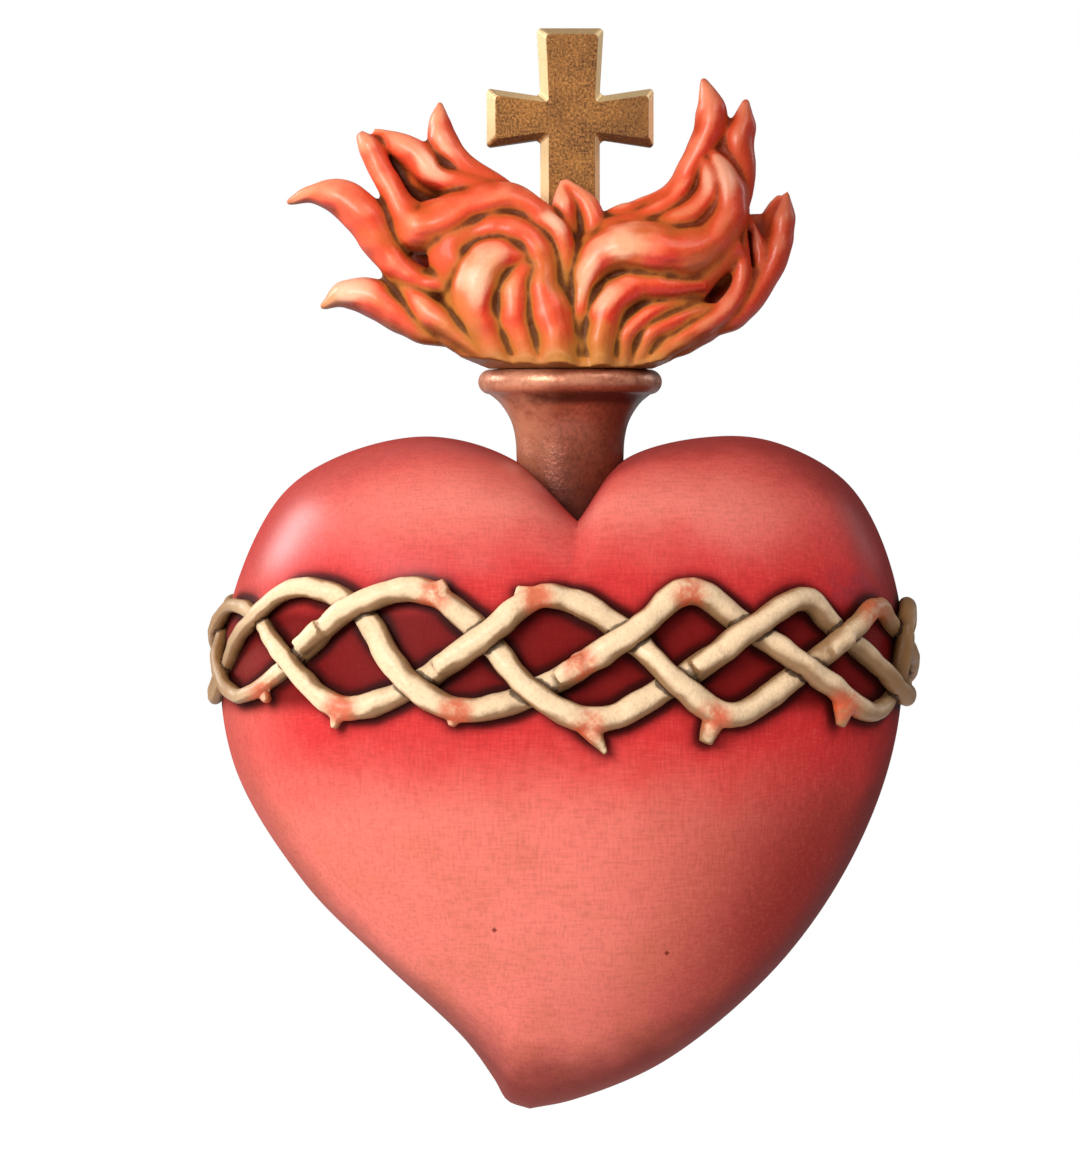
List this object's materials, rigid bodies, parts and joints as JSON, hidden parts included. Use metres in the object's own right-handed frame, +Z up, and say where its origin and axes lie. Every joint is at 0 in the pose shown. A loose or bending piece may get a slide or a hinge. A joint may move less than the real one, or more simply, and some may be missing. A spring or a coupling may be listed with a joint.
{
  "type": "sacred heart wall ornament",
  "caption": "Carved and painted wooden sacred heart to hang on a wall: heart with a crown of thorns, flared neck, flames and a small gilt cross.",
  "frame": {"origin": "on the flat back that lies against the wall, behind the middle of the heart", "axes": "+Y out of the back, into the wall; +Z up, from the heart's tip to the cross; +X to the right, seen from the front"},
  "size_m": [0.1344, 0.0615, 0.2001],
  "materials": {
    "heart": "coral red paint under satin varnish, darker towards the edges",
    "crown_of_thorns": "bone paint with olive brown shading and reddish thorns",
    "neck": "brown copper paint, satin",
    "flames": "orange red paint with golden olive grooves, satin",
    "cross": "worn antique gold leaf, bright on the bevels"
  },
  "bodies": {
    "root": {"heart": "heart", "crown_of_thorns": "crown_of_thorns", "neck": "neck", "flames": "flames", "cross": "cross"}
  },
  "joints": []
}
